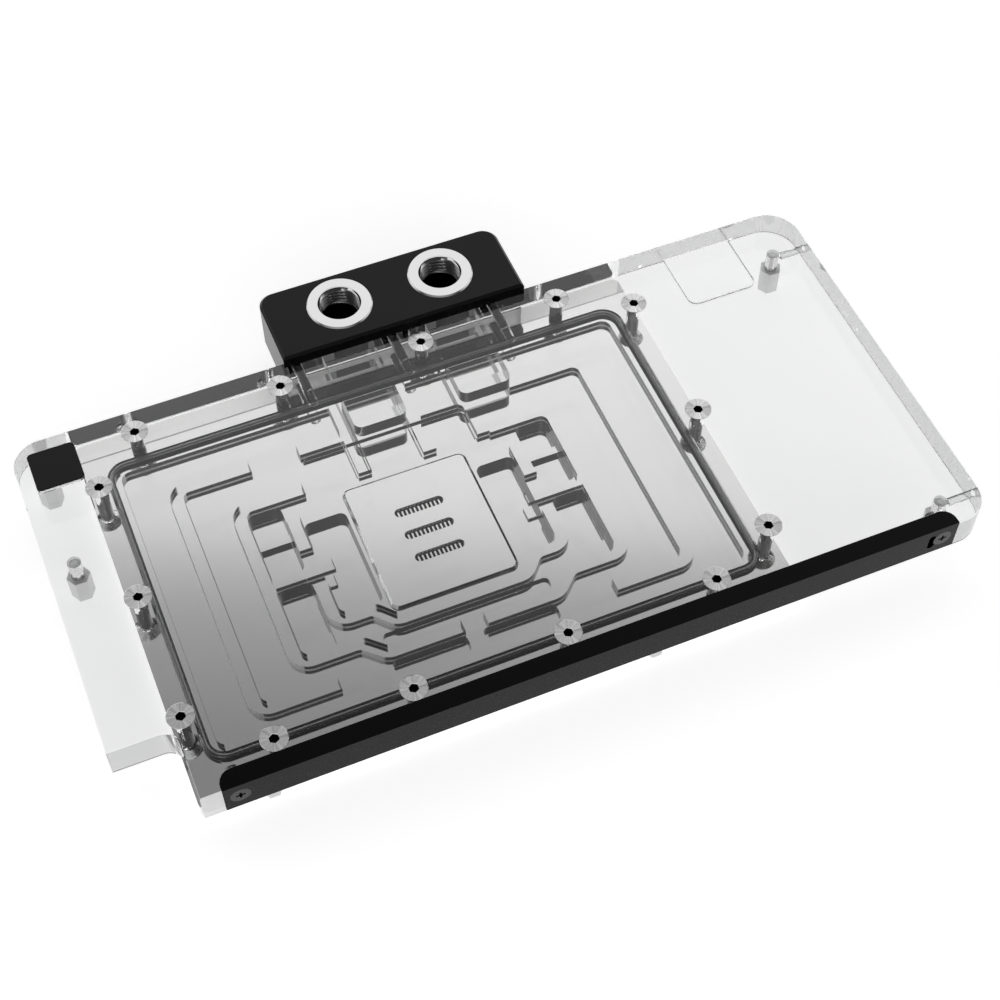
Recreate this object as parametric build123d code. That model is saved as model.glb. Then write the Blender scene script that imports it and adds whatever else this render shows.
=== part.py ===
import os

from build123d import *

# Water block for a graphics card. Millimetres, +Z up, +X along the long side,
# +Y towards the port terminal. The origin is the middle of the face that
# touches the graphics chip.

# Heights, counted from the chip contact face at z = 0.
contact_above_card = 2.9
gpu_land_height = 0.7
plate_thickness = 5.0
joint_gap = 0.05
cover_thickness = 11.0
terminal_above_cover = 4.2
terminal_below_plate_top = 1.0

card_z = -contact_above_card
plate_bottom = gpu_land_height
plate_top = plate_bottom + plate_thickness
cover_bottom = plate_top + joint_gap
cover_top = cover_bottom + cover_thickness
cover_middle = (cover_bottom + cover_top) / 2
terminal_top = cover_top + terminal_above_cover

# Clearances and the number of flat sides of small rods and holes. They repeat
# often and are seen small, so they are prisms, which keeps the mesh light.
hole_gap = 0.05
rod_sides = 20
stud_sides = 12

# Outline of the clear cover, with a tab at its back left.
cover_left = -105.1
cover_right = 148.9
cover_front = -60.7
cover_back = 67.8
tab_front = -38.7
tab_right = -86.5
tab_fillet = 4.5
cover_back_left_radius = 9.0
cover_back_right_radius = 10.5
cover_front_right_radius = 9.0
cover_edge = 0.3

# Cover screws, countersunk M4.
screw_shank_radius = 1.95
screw_head_radius = 3.95
screw_head_height = 2.2
screw_hex_width = 2.5
screw_hex_depth = 1.8
screw_into_plate = 3.6
screw_clearance = 0.15
screw_pitch = 44.95
screw_back_y = 60.05
screw_back_x = -69.0
screw_back_count = 4
screw_front_y = -51.2
screw_front_x = -24.2
screw_front_count = 3
screw_front_left_x = -63.3
screw_left_x = -83.95
screw_left_y = -35.5
screw_left_pitch = 40.1
screw_right_x = 87.3
screw_right_y = -40.6
screw_side_count = 3

# Outline of the cold plate: a rim outside each row of screws.
plate_left = screw_left_x - 3.05
plate_right = screw_right_x + 2.7
plate_front = screw_front_y - 6.8
plate_back = screw_back_y + 7.25
plate_corner = 2.0

# Standoffs under the cold plate, M2.5: four round the chip, four outside.
gpu_standoff_half_pitch = 32.0
card_standoff_front_inset = 3.0
card_standoff_back_inset = 7.3
card_front_left_inset = 20.0
card_front_right_inset = 44.0
card_back_left_inset = 8.0
card_back_right_inset = 6.0
plate_standoff_hex = 5.0
plate_stud_radius = 1.25
plate_stud_height = 2.8
card_screw_radius = 1.25

# Lands on the underside of the plate, over the chip and the hot parts.
gpu_land_size = 42.0
memory_land_height = 1.5
memory_land_width = 15.0
memory_land_offset = 42.0
memory_row_y = 33.0
land_clearance = 3.5
memory_land_length = 2 * (gpu_standoff_half_pitch - plate_standoff_hex / 2 - land_clearance)
power_land_height = 1.0
power_land_width = 14.0
power_land_length = 84.0
power_land_offset = 67.0

# Main seal, a squeezed round cord between cover and plate.
seal_left = -80.0
seal_right = 83.0
seal_front = -47.3
seal_back = 55.3
seal_corner = 5.5
seal_width = 2.0
seal_height = 1.9
seal_bevel = 0.55
seal_groove_gap = 0.1

# Water space cut in the underside of the cover, with a wall to the seal groove.
seal_wall_left = 1.9
seal_wall_right = 2.6
seal_wall_front = 1.7
seal_wall_back = 2.9
space_left = seal_left + seal_width / 2 + seal_wall_left
space_right = seal_right - seal_width / 2 - seal_wall_right
space_front = seal_front + seal_width / 2 + seal_wall_front
space_back = seal_back - seal_width / 2 - seal_wall_back
space_corner = 3.0
space_height = 2.5

# Flow guides left standing in the water space.
guide_width = 4.0
guide_bend = 4.2
outer_guide_left = -64.2
outer_guide_right = 65.0
outer_guide_front = -38.4
outer_guide_back = 39.9
outer_guide_end = 41.0
middle_guide_left = -49.4
middle_guide_right = 48.7
middle_guide_front = -28.8
middle_guide_back = 26.4
middle_guide_end = 29.0
front_bar_y = -34.5
front_bar_gap = 3.4
jog_outer = 31.5
jog_inner = 25.5
inner_guide_left = -35.2
inner_guide_right = 34.2
inner_guide_front = -19.9
inner_bar_y = -25.5
inner_jog_outer = 24.5
inner_jog_inner = 19.5
inner_guide_gap_back = -7.2
inner_guide_upper_start = 6.0
inner_guide_upper_end = 17.5
cross_guide_y = -1.4
cross_guide_inner = 29.6
duct_guide_front = 25.2
duct_guide_y = 40.1
duct_guide_left_end = -26.0

# Ducts from the terminal to the water space, heights above the cover's underside.
duct_left_x = -0.1
duct_pitch = 33.5
duct_right_x = duct_left_x + duct_pitch
duct_width = 16.4
duct_front = 37.4
duct_corner = 2.5
duct_floor = 3.6
duct_height = 4.8

# Recesses in the top of the cold plate.
memory_recess_width = 10.2
memory_recess_depth = 3.6
memory_recess_back = 24.3
memory_recess_middle = 0.7
memory_recess_near = -21.5
memory_recess_end = -26.7
memory_recess_end_depth = 2.0
memory_web_y = 13.2
memory_web_width = 2.4
memory_web_height = 2.2
side_recess_depth = 4.0
side_recess_back = 15.5
side_recess_front = -17.5
gpu_channel_back = 38.0
gpu_channel_front = 25.0
gpu_channel_half_width = 25.9
gpu_channel_depth = 1.1
inner_front_recess_depth = 1.5
inner_front_recess_front = -31.4
inner_front_recess_half = 25.0
front_recess_depth = 2.3
front_recess_front = -41.8
recess_corner = 2.2
narrow_recess_corner = 1.6

# Jet plate and the fin field under it.
jet_width = 38.6
jet_length = 44.2
jet_above_plate = 1.2
jet_corner = 2.6
jet_bevel = 0.8
jet_side_clearance = 1.0
jet_slot_width = 3.0
jet_slot_length = 15.0
jet_slot_pitch = 8.2
jet_slot_count = 3
fin_thickness = 0.5
fin_pitch = 1.25
fin_depth = 2.6
fin_field_width = 33.0
fin_field_length = 34.0

# Port terminal. It stands against the cover's back and its lip lies on the cover.
terminal_front = cover_back + joint_gap
terminal_left = -20.8
terminal_right = 57.5
terminal_back = 92.6
terminal_lip = 2.0
terminal_corner = 5.0
terminal_edge = 0.8
port_left_x = 2.25
port_pitch = 33.0
port_x = (port_left_x, port_left_x + port_pitch)
port_y = 80.3
port_bore_radius = 5.72
port_mouth_radius = 6.6
port_ring_radius = 10.25
port_ring_thickness = 1.6
port_ring_proud = 0.35
port_sleeve_radius = 7.4
port_thread_length = 6.6
port_chamber_radius = 6.0
channel_width = 11.0
duct_seal_reach = 1.9
duct_seal_cord = 1.5
duct_seal_depth = 1.4

# Terminal screws, M3, from the back of the terminal into the cover.
terminal_screw_left_inset = 4.5
terminal_screw_middle_x = 14.6
terminal_screw_right_inset = 9.7
terminal_screw_x = (terminal_left + terminal_screw_left_inset, terminal_screw_middle_x,
                    terminal_right - terminal_screw_right_inset)
terminal_screw_radius = 1.5
terminal_screw_head_radius = 2.75
terminal_screw_head_height = 3.0
terminal_screw_seat = 3.3
terminal_screw_reach = 8.35
terminal_screw_hex = 2.5
terminal_hole_depth = 15.0
drill_tip = 0.9
drill_point = 0.1

# Light bar in the front edge of the cover, with lamps in a channel in its back.
bar_from_tab = 5.9
bar_from_right = 11.2
bar_left = tab_right + bar_from_tab
bar_right = cover_right - bar_from_right
bar_depth = 5.6
bar_corner = 4.0
bar_gap = 0.05
bar_channel_left_inset = 8.6
bar_channel_right_inset = 6.8
bar_channel_left = bar_left + bar_channel_left_inset
bar_channel_right = bar_right - bar_channel_right_inset
bar_channel_height = 6.4
bar_channel_depth = 2.6
bar_screw_left_inset = 4.5
bar_screw_right_inset = 4.5
bar_screw_x = (bar_left + bar_screw_left_inset, bar_right - bar_screw_right_inset)
bar_screw_below_top = 5.4
bar_screw_z = cover_top - bar_screw_below_top
bar_screw_radius = 1.5
bar_screw_head_radius = 2.9
bar_screw_head_height = 1.6
bar_screw_length = 8.0
bar_screw_cross = 2.6
bar_screw_cross_width = 0.7
bar_screw_cross_depth = 0.9
cable_slot_from_channel_end = 1.2
cable_slot_width = 2.2
cable_slot_height = 5.8
lamp_board_height = 5.4
lamp_board_thickness = 1.0
lamp_board_gap = 0.6
lamp_count = 21
lamp_width = 3.0
lamp_height = 2.8
lamp_thickness = 0.9

# Badge plate in a pocket in the cover's back left corner.
badge_from_left = 11.55
badge_from_back = 11.35
badge_size = 14.0
badge_corner = 1.4
badge_thickness = 1.4
badge_proud = 0.3
badge_gap = 0.05
badge_depth = badge_thickness - badge_proud

# Standoffs under the overhanging cover.
cover_standoff_from_right = 11.4
cover_standoff_from_back = 15.4
cover_standoff_from_front = 9.6
cover_standoff_from_left = 7.8
cover_standoff_left_y = 23.6
cover_standoff_left_pitch = 34.4
cover_standoff_hex = 6.0
cover_stud_radius = 1.9
cover_stud_height = 8.4
cover_stud_gap = 0.1
cover_stud_tip = 1.0
side_hole_radius = 1.3
side_hole_rest = 1.0

# Relief in the underside of the cover's back right corner.
relief_from_right = 18.9
relief_width = 23.0
relief_length = 20.5
relief_depth = 1.0
relief_corner = 3.0


def rectangle(x0, x1, y0, y1, radius=0.0):
    """A face between two corners, with all its corners rounded."""
    middle = Pos((x0 + x1) / 2, (y0 + y1) / 2)
    if radius > 0:
        return middle * RectangleRounded(x1 - x0, y1 - y0, radius)
    return middle * Rectangle(x1 - x0, y1 - y0)


def slab(face, z0, z1):
    """A flat face in the XY plane as a solid between two heights."""
    return extrude(Pos(0, 0, z0) * face, z1 - z0)


def cylinder(radius, length, place):
    """A round rod that starts at a place and runs along its own Z."""
    return place * Pos(0, 0, length / 2) * Cylinder(radius, length)


def rod(radius, length, place, sides=rod_sides):
    """A rod with flat sides that starts at a place and runs along its own Z."""
    return place * extrude(RegularPolygon(radius, sides), length)


def taper(start_radius, end_radius, length, place):
    """A flat-sided cone that starts at a place and runs along its own Z."""
    start = RegularPolygon(start_radius, rod_sides)
    end = Pos(0, 0, length) * RegularPolygon(end_radius, rod_sides)
    return place * loft([start.face(), end.face()], ruled=True)


def hexagon(width, x, y):
    """A hexagon of a given width across its flats."""
    return Pos(x, y) * RegularPolygon(width / 2, 6, major_radius=False)


def guide(*points):
    """A flow guide as a strip of even width along a rounded line."""
    if len(points) == 2:
        return trace(Line(*points), guide_width)
    return trace(FilletPolyline(*points, radius=guide_bend), guide_width)


def along_y(x, y, z):
    """A place whose Z axis points to +Y."""
    return Pos(x, y, z) * Rot(-90, 0, 0)


def screw_places():
    """The middles of all the cover screws."""
    back = [(screw_back_x + i * screw_pitch, screw_back_y) for i in range(screw_back_count)]
    front = [(screw_front_x + i * screw_pitch, screw_front_y) for i in range(screw_front_count)]
    front.append((screw_front_left_x, screw_front_y))
    left = [(screw_left_x, screw_left_y + i * screw_left_pitch) for i in range(screw_side_count)]
    right = [(screw_right_x, screw_right_y + i * screw_pitch) for i in range(screw_side_count)]
    return back + front + left + right


def chip_standoff_places():
    """The middles of the standoffs round the chip."""
    near = gpu_standoff_half_pitch
    return [(x, y) for x in (-near, near) for y in (-near, near)]


def card_standoff_places():
    """The middles of the standoffs near the edges of the cold plate."""
    front = plate_front + card_standoff_front_inset
    back = plate_back - card_standoff_back_inset
    return [(plate_left + card_front_left_inset, front),
            (plate_right - card_front_right_inset, front),
            (plate_left + card_back_left_inset, back),
            (plate_right - card_back_right_inset, back)]


def cover_standoff_places():
    """The middle of each standoff under the cover, by its name."""
    left = cover_left + cover_standoff_from_left
    right = cover_right - cover_standoff_from_right
    return {
        "right_back": (right, cover_back - cover_standoff_from_back),
        "right_front": (right, cover_front + cover_standoff_from_front),
        "left_front": (left, cover_standoff_left_y),
        "left_back": (left, cover_standoff_left_y + cover_standoff_left_pitch),
    }


def seal_ring(width):
    """The closed strip that the main seal follows."""
    half = width / 2
    outer = rectangle(seal_left - half, seal_right + half, seal_front - half,
                      seal_back + half, seal_corner + half)
    inner = rectangle(seal_left + half, seal_right - half, seal_front + half,
                      seal_back - half, seal_corner - half)
    return outer - inner


def flow_guides():
    """All flow guides, drawn from above."""
    back = space_back + guide_width
    half = guide_width / 2
    duct_left = duct_left_x - duct_width / 2 - half
    duct_middle = duct_left_x + duct_width / 2 + half
    duct_right = duct_right_x - duct_width / 2 + half
    guides = [
        guide((-outer_guide_end, outer_guide_back), (outer_guide_left, outer_guide_back),
              (outer_guide_left, outer_guide_front), (-outer_guide_end, outer_guide_front)),
        guide((outer_guide_end, outer_guide_back), (outer_guide_right, outer_guide_back),
              (outer_guide_right, outer_guide_front), (outer_guide_end, outer_guide_front)),
        guide((-middle_guide_end, middle_guide_back), (middle_guide_left, middle_guide_back),
              (middle_guide_left, middle_guide_front), (-jog_outer, middle_guide_front),
              (-jog_inner, front_bar_y), (-front_bar_gap, front_bar_y)),
        guide((middle_guide_end, middle_guide_back), (middle_guide_right, middle_guide_back),
              (middle_guide_right, middle_guide_front), (jog_outer, middle_guide_front),
              (jog_inner, front_bar_y), (front_bar_gap, front_bar_y)),
        guide((inner_guide_left, inner_guide_gap_back), (inner_guide_left, inner_guide_front),
              (-inner_jog_outer, inner_guide_front), (-inner_jog_inner, inner_bar_y),
              (inner_jog_inner, inner_bar_y), (inner_jog_outer, inner_guide_front),
              (inner_guide_right, inner_guide_front), (inner_guide_right, inner_guide_gap_back)),
        guide((inner_guide_left, inner_guide_upper_start), (inner_guide_left, inner_guide_upper_end)),
        guide((inner_guide_right, inner_guide_upper_start), (inner_guide_right, inner_guide_upper_end)),
        guide((middle_guide_left, cross_guide_y), (-cross_guide_inner, cross_guide_y)),
        guide((middle_guide_right, cross_guide_y), (cross_guide_inner, cross_guide_y)),
        guide((duct_left, duct_guide_front), (duct_left, back)),
        guide((duct_middle, duct_guide_front), (duct_middle, back)),
        guide((duct_guide_left_end, duct_guide_y), (duct_left, duct_guide_y)),
        guide((duct_middle, duct_guide_y), (duct_right, duct_guide_y), (duct_right, duct_guide_front)),
    ]
    return guides


def water_space():
    """What the cutter takes out of the underside of the cover, without the ducts."""
    face = rectangle(space_left, space_right, space_front, space_back, space_corner)
    for strip in flow_guides():
        face -= strip
    return slab(face, cover_bottom, cover_bottom + space_height)


def duct(x):
    """One duct: open below over the water space, closed below where it passes the seal."""
    ceiling = cover_bottom + duct_floor + duct_height
    face = rectangle(x - duct_width / 2, x + duct_width / 2, duct_front,
                     cover_back + duct_corner * 2, duct_corner)
    tunnel = slab(face, cover_bottom + duct_floor, ceiling)
    over_space = face & rectangle(x - duct_width, x + duct_width, duct_front, space_back)
    return tunnel + slab(over_space, cover_bottom + space_height, ceiling)


def bar_outline(gap):
    """The light bar from above; its two back corners are rounded."""
    face = rectangle(bar_left + gap, bar_right - gap, cover_front, cover_front + bar_depth - gap)
    corners = face.vertices().group_by(Axis.Y)[-1]
    return fillet(corners, bar_corner)


def cover_outline():
    """The cover from above, with the tab at its back left."""
    face = rectangle(cover_left, cover_right, cover_front, cover_back)
    face -= rectangle(cover_left, tab_right, cover_front, tab_front)
    face = fillet(face.vertices().sort_by_distance((tab_right, tab_front))[0], tab_fillet)
    face = fillet(face.vertices().sort_by_distance((cover_left, cover_back))[0],
                  cover_back_left_radius)
    face = fillet(face.vertices().sort_by_distance((cover_right, cover_back))[0],
                  cover_back_right_radius)
    return fillet(face.vertices().sort_by_distance((cover_right, cover_front))[0],
                  cover_front_right_radius)


def screw_hole(x, y):
    """The countersunk hole for one cover screw."""
    radius = screw_shank_radius + screw_clearance
    sink = taper(radius, screw_head_radius + hole_gap, screw_head_height,
                 Pos(x, y, cover_top - screw_head_height))
    return rod(radius, cover_thickness, Pos(x, y, cover_bottom)) + sink


def terminal_screw_hole(x):
    """The blind hole in the cover's back for one terminal screw, with the tip of the drill."""
    radius = terminal_screw_radius + hole_gap
    place = along_y(x, cover_back - terminal_hole_depth, cover_middle)
    tip = taper(drill_point, radius, drill_tip, place * Pos(0, 0, -drill_tip))
    return rod(radius, terminal_hole_depth, place) + tip


def make_cover():
    """The clear cover with the water space cut in its underside."""
    cover = slab(cover_outline(), cover_bottom, cover_top)
    cover = chamfer(cover.edges().group_by(Axis.Z)[-1], cover_edge)
    cover -= slab(bar_outline(0), cover_bottom, cover_top)
    groove = seal_ring(seal_width + 2 * seal_groove_gap)
    cover -= slab(groove, cover_bottom, cover_bottom + seal_height)
    cover -= water_space()
    cover -= duct(duct_left_x)
    cover -= duct(duct_right_x)
    for x, y in screw_places():
        cover -= screw_hole(x, y)
    for x in terminal_screw_x:
        cover -= terminal_screw_hole(x)
    for x in bar_screw_x:
        cover -= rod(bar_screw_radius + hole_gap, bar_screw_length + hole_gap,
                     along_y(x, cover_front, bar_screw_z))
    for x, y in cover_standoff_places().values():
        cover -= rod(cover_stud_radius + cover_stud_gap, cover_stud_height + cover_stud_gap,
                     Pos(x, y, cover_bottom))
    for name in ("right_back", "right_front"):
        x, y = cover_standoff_places()[name]
        start = x + cover_stud_radius + side_hole_rest
        side = Pos(start, y, cover_middle) * Rot(0, 90, 0)
        cover -= rod(side_hole_radius, cover_right - start, side)
    cover -= slab(badge_outline(badge_gap), cover_top - badge_depth - badge_gap, cover_top)
    relief_right = cover_right - relief_from_right
    relief = rectangle(relief_right - relief_width, relief_right, cover_back - relief_length,
                       cover_back + relief_corner * 2, relief_corner)
    cover -= slab(relief, cover_bottom, cover_bottom + relief_depth)
    return cover


def badge_outline(gap):
    """The badge plate from above, or its pocket with a gap round it."""
    size = badge_size + 2 * gap
    middle = Pos(cover_left + badge_from_left, cover_back - badge_from_back)
    return middle * RectangleRounded(size, size, badge_corner + gap)


def recess(x0, x1, y0, y1, depth, corner=recess_corner):
    """A pocket milled in the top of the cold plate."""
    return slab(rectangle(x0, x1, y0, y1, corner), plate_top - depth, plate_top)


def memory_recesses(x0, x1):
    """The pockets between the middle and the inner guide on one side."""
    half = guide_width / 2
    floor = plate_top - memory_recess_depth
    web = slab(rectangle(x0, x1, memory_web_y - memory_web_width / 2,
                         memory_web_y + memory_web_width / 2), floor, floor + memory_web_height)
    back = recess(x0, x1, memory_recess_middle, memory_recess_back, memory_recess_depth)
    near = recess(x0, x1, memory_recess_near, cross_guide_y - half, memory_recess_depth)
    end = recess(x0, x1, memory_recess_end, memory_recess_near + 2 * recess_corner,
                 memory_recess_end_depth)
    return [back - web, near, end]


def plate_recesses():
    """The pockets in the plate's top that lead the water over the hot parts below."""
    half = guide_width / 2
    left = middle_guide_left + half
    right = middle_guide_right - half
    jet_edge = jet_width / 2 + jet_side_clearance
    cuts = memory_recesses(left, left + memory_recess_width)
    cuts += memory_recesses(right - memory_recess_width, right)
    cuts.append(recess(inner_guide_left + half, -jet_edge, side_recess_front, side_recess_back,
                       side_recess_depth))
    cuts.append(recess(jet_edge, inner_guide_right - half, side_recess_front, side_recess_back,
                       side_recess_depth))
    cuts.append(recess(-gpu_channel_half_width, gpu_channel_half_width, gpu_channel_front,
                       gpu_channel_back, gpu_channel_depth))
    cuts.append(recess(-inner_front_recess_half, inner_front_recess_half,
                       inner_front_recess_front, inner_bar_y - half, inner_front_recess_depth,
                       narrow_recess_corner))
    for x0, x1 in ((-jog_inner, -front_bar_gap), (front_bar_gap - half, jog_inner - half)):
        cuts.append(recess(x0, x1, front_recess_front, front_bar_y - half, front_recess_depth,
                           narrow_recess_corner))
    return cuts


def fin_slots():
    """The narrow channels between the fins over the chip."""
    count = int(fin_field_width / fin_pitch)
    first = -(count - 1) * fin_pitch / 2
    slots = []
    for i in range(count):
        middle = Pos(first + i * fin_pitch, 0, plate_top - fin_depth / 2)
        slots.append(middle * Box(fin_pitch - fin_thickness, fin_field_length, fin_depth))
    return slots


def plate_lands():
    """The raised faces on the plate's underside, for the chip, the memory and the power parts."""
    lands = [slab(Rectangle(gpu_land_size, gpu_land_size), 0, plate_bottom)]
    memory_bottom = plate_bottom - memory_land_height
    power_bottom = plate_bottom - power_land_height
    for side in (-1, 1):
        memory = Rectangle(memory_land_width, memory_land_length)
        lands.append(slab(Pos(side * memory_land_offset, 0) * memory, memory_bottom, plate_bottom))
        power = Rectangle(power_land_width, power_land_length)
        lands.append(slab(Pos(side * power_land_offset, 0) * power, power_bottom, plate_bottom))
    row = Pos(0, memory_row_y) * Rectangle(memory_land_length, memory_land_width)
    lands.append(slab(row, memory_bottom, plate_bottom))
    return lands


def make_plate():
    """The cold plate with its lands, recesses, fins and tapped holes."""
    plate = slab(rectangle(plate_left, plate_right, plate_front, plate_back, plate_corner),
                 plate_bottom, plate_top)
    plate += plate_lands()
    for cut in plate_recesses():
        plate -= cut
    plate -= fin_slots()
    for x, y in screw_places():
        depth = screw_into_plate + hole_gap
        plate -= rod(screw_shank_radius + hole_gap, depth, Pos(x, y, plate_top - depth))
    for x, y in chip_standoff_places() + card_standoff_places():
        plate -= rod(plate_stud_radius + hole_gap, plate_stud_height + hole_gap,
                     Pos(x, y, plate_bottom), stud_sides)
    return plate


def make_jet_plate():
    """The bevelled plate that spreads the water into the fins, with plain rounded slots."""
    plate = slab(RectangleRounded(jet_width, jet_length, jet_corner), plate_top,
                 plate_top + jet_above_plate)
    plate = chamfer(plate.edges().group_by(Axis.Z)[-1], jet_bevel)
    for i in range(jet_slot_count):
        y = (i - (jet_slot_count - 1) / 2) * jet_slot_pitch
        slot = Pos(0, y) * SlotOverall(jet_slot_length, jet_slot_width)
        plate -= slab(slot, plate_top, plate_top + jet_above_plate)
    return plate


def make_main_seal():
    """The squeezed seal cord round the water space."""
    seal = slab(seal_ring(seal_width), plate_top, plate_top + seal_height)
    edges = seal.edges().filter_by(Plane.XY)
    return chamfer(edges, seal_bevel)


def cover_screw(x, y):
    """One countersunk screw with a hex socket."""
    shank_bottom = plate_top - screw_into_plate
    head_bottom = cover_top - screw_head_height
    screw = rod(screw_shank_radius, head_bottom - shank_bottom, Pos(x, y, shank_bottom))
    screw += taper(screw_shank_radius, screw_head_radius, screw_head_height,
                   Pos(x, y, head_bottom))
    return screw - slab(hexagon(screw_hex_width, x, y), cover_top - screw_hex_depth, cover_top)


def duct_seal_at(x, depth):
    """The ring that the seal of one duct follows, as a solid in the terminal's joint face."""
    middle = cover_bottom + duct_floor + duct_height / 2
    cord = duct_seal_cord
    outer = SlotOverall(duct_width + 2 * (duct_seal_reach + cord) - cord,
                        duct_height + 2 * duct_seal_reach)
    inner = SlotOverall(duct_width + 2 * duct_seal_reach - cord,
                        duct_height + 2 * duct_seal_reach - 2 * cord)
    return along_y(x, terminal_front, middle) * extrude(outer - inner, depth)


def terminal_body():
    """The outside of the terminal with its rounded back corners and bevelled top."""
    body = slab(rectangle(terminal_left, terminal_right, terminal_front, terminal_back),
                plate_top - terminal_below_plate_top, terminal_top)
    body = fillet(body.edges().filter_by(Axis.Z).group_by(Axis.Y)[-1], terminal_corner)
    lip = rectangle(terminal_left, terminal_right, cover_back - terminal_lip, terminal_front)
    body += slab(lip, cover_top + joint_gap, terminal_top)
    return chamfer(body.edges().group_by(Axis.Z)[-1], terminal_edge)


def make_terminal():
    """The block with the two ports."""
    body = terminal_body()
    chamber = cover_bottom + duct_floor
    sleeve_bottom = terminal_top + port_ring_proud - port_thread_length
    for x, duct_x in zip(port_x, (duct_left_x, duct_right_x)):
        seat = Pos(x, port_y, terminal_top + port_ring_proud - port_ring_thickness)
        body -= cylinder(port_ring_radius + hole_gap, port_ring_thickness, seat)
        body -= cylinder(port_sleeve_radius + hole_gap, port_thread_length,
                         Pos(x, port_y, sleeve_bottom))
        body -= rod(port_chamber_radius, sleeve_bottom - chamber, Pos(x, port_y, chamber))
        channel = Box(channel_width, port_y - terminal_front, duct_height)
        body -= Pos((x + duct_x) / 2, (port_y + terminal_front) / 2,
                    chamber + duct_height / 2) * channel
        body -= duct_seal_at(duct_x, duct_seal_depth)
    for x in terminal_screw_x:
        body -= rod(terminal_screw_radius + hole_gap, terminal_back - terminal_front,
                    along_y(x, terminal_front, cover_middle))
        body -= rod(terminal_screw_head_radius + hole_gap, terminal_screw_seat,
                    along_y(x, terminal_back - terminal_screw_seat, cover_middle))
    return body


def make_port_ring(x):
    """The threaded metal insert of one port with its wide face ring."""
    top = terminal_top + port_ring_proud
    bottom = top - port_thread_length
    ring = cylinder(port_ring_radius, port_ring_thickness,
                    Pos(x, port_y, top - port_ring_thickness))
    ring = chamfer(ring.edges().group_by(Axis.Z)[-1], port_ring_proud)
    ring += cylinder(port_sleeve_radius, port_thread_length, Pos(x, port_y, bottom))
    ring -= cylinder(port_bore_radius, port_thread_length, Pos(x, port_y, bottom))
    depth = port_mouth_radius - port_bore_radius
    mouth = Cone(port_bore_radius, port_mouth_radius, depth)
    return ring - Pos(x, port_y, top - depth / 2) * mouth


def make_terminal_screw(x):
    """One socket head screw that holds the terminal on the cover."""
    seat = terminal_back - terminal_screw_seat
    end = cover_back - terminal_screw_reach
    screw = rod(terminal_screw_radius, seat - end, along_y(x, end, cover_middle))
    screw += rod(terminal_screw_head_radius, terminal_screw_head_height,
                 along_y(x, seat, cover_middle))
    socket = extrude(hexagon(terminal_screw_hex, 0, 0), -terminal_screw_head_height / 2)
    return screw - along_y(x, seat + terminal_screw_head_height, cover_middle) * socket


def make_light_bar():
    """The dark bar in the cover's front edge, with a channel for the lamps in its back."""
    bar = slab(bar_outline(bar_gap), cover_bottom, cover_top)
    channel_back = cover_front + bar_depth
    channel = Box(bar_channel_right - bar_channel_left, bar_channel_depth, bar_channel_height)
    bar -= Pos((bar_channel_left + bar_channel_right) / 2,
               channel_back - bar_channel_depth / 2, cover_middle) * channel
    slot = Rot(0, 0, 90) * SlotOverall(cable_slot_height, cable_slot_width)
    slot_x = bar_channel_right - cable_slot_from_channel_end
    bar -= along_y(slot_x, cover_front, cover_middle) * extrude(slot, bar_depth)
    for x in bar_screw_x:
        place = along_y(x, cover_front, bar_screw_z)
        bar -= rod(bar_screw_radius + hole_gap, bar_depth, place)
        bar -= taper(bar_screw_head_radius + hole_gap, bar_screw_radius + hole_gap,
                     bar_screw_head_height, place)
    return bar


def make_bar_screw(x):
    """One countersunk cross head screw of the light bar."""
    place = along_y(x, cover_front, bar_screw_z)
    screw = taper(bar_screw_head_radius, bar_screw_radius, bar_screw_head_height, place)
    screw += rod(bar_screw_radius, bar_screw_length - bar_screw_head_height,
                 place * Pos(0, 0, bar_screw_head_height))
    cross = Rectangle(bar_screw_cross, bar_screw_cross_width)
    cross += Rectangle(bar_screw_cross_width, bar_screw_cross)
    return screw - place * extrude(cross, bar_screw_cross_depth)


def lamp_board_front():
    """The face of the lamp board that lies on the floor of the bar's channel."""
    return cover_front + bar_depth - bar_channel_depth


def make_lamp_board():
    """The long circuit board behind the light bar."""
    length = bar_channel_right - bar_channel_left - 2 * lamp_board_gap
    board = Box(length, lamp_board_thickness, lamp_board_height)
    return Pos((bar_channel_left + bar_channel_right) / 2,
               lamp_board_front() + lamp_board_thickness / 2, cover_middle) * board


def make_lamps():
    """The lamps on the board, a row at even distances."""
    pitch = (bar_channel_right - bar_channel_left) / lamp_count
    y = lamp_board_front() + lamp_board_thickness + lamp_thickness / 2
    lamps = []
    for i in range(lamp_count):
        x = bar_channel_left + (i + 0.5) * pitch
        lamps.append(Pos(x, y, cover_middle) * Box(lamp_width, lamp_thickness, lamp_height))
    return lamps


def make_badge():
    """The bare badge plate."""
    bottom = cover_top - badge_depth
    plate = slab(badge_outline(0), bottom, bottom + badge_thickness)
    return chamfer(plate.edges().group_by(Axis.Z)[-1], badge_proud / 2)


def make_cover_standoff(x, y):
    """One hexagonal standoff with a stud that is screwed up into the cover."""
    body = slab(hexagon(cover_standoff_hex, x, y), card_z, plate_top)
    straight = cover_stud_height - cover_stud_tip
    body += rod(cover_stud_radius, straight, Pos(x, y, plate_top))
    body += taper(cover_stud_radius, cover_stud_radius - cover_stud_tip, cover_stud_tip,
                  Pos(x, y, plate_top + straight))
    return body - cylinder(card_screw_radius, contact_above_card, Pos(x, y, card_z))


def make_plate_standoff(x, y):
    """One hexagonal standoff with a stud that is screwed up into the cold plate."""
    body = slab(hexagon(plate_standoff_hex, x, y), card_z, plate_bottom)
    body += rod(plate_stud_radius, plate_stud_height, Pos(x, y, plate_bottom), stud_sides)
    return body - cylinder(card_screw_radius, contact_above_card, Pos(x, y, card_z))


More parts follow.
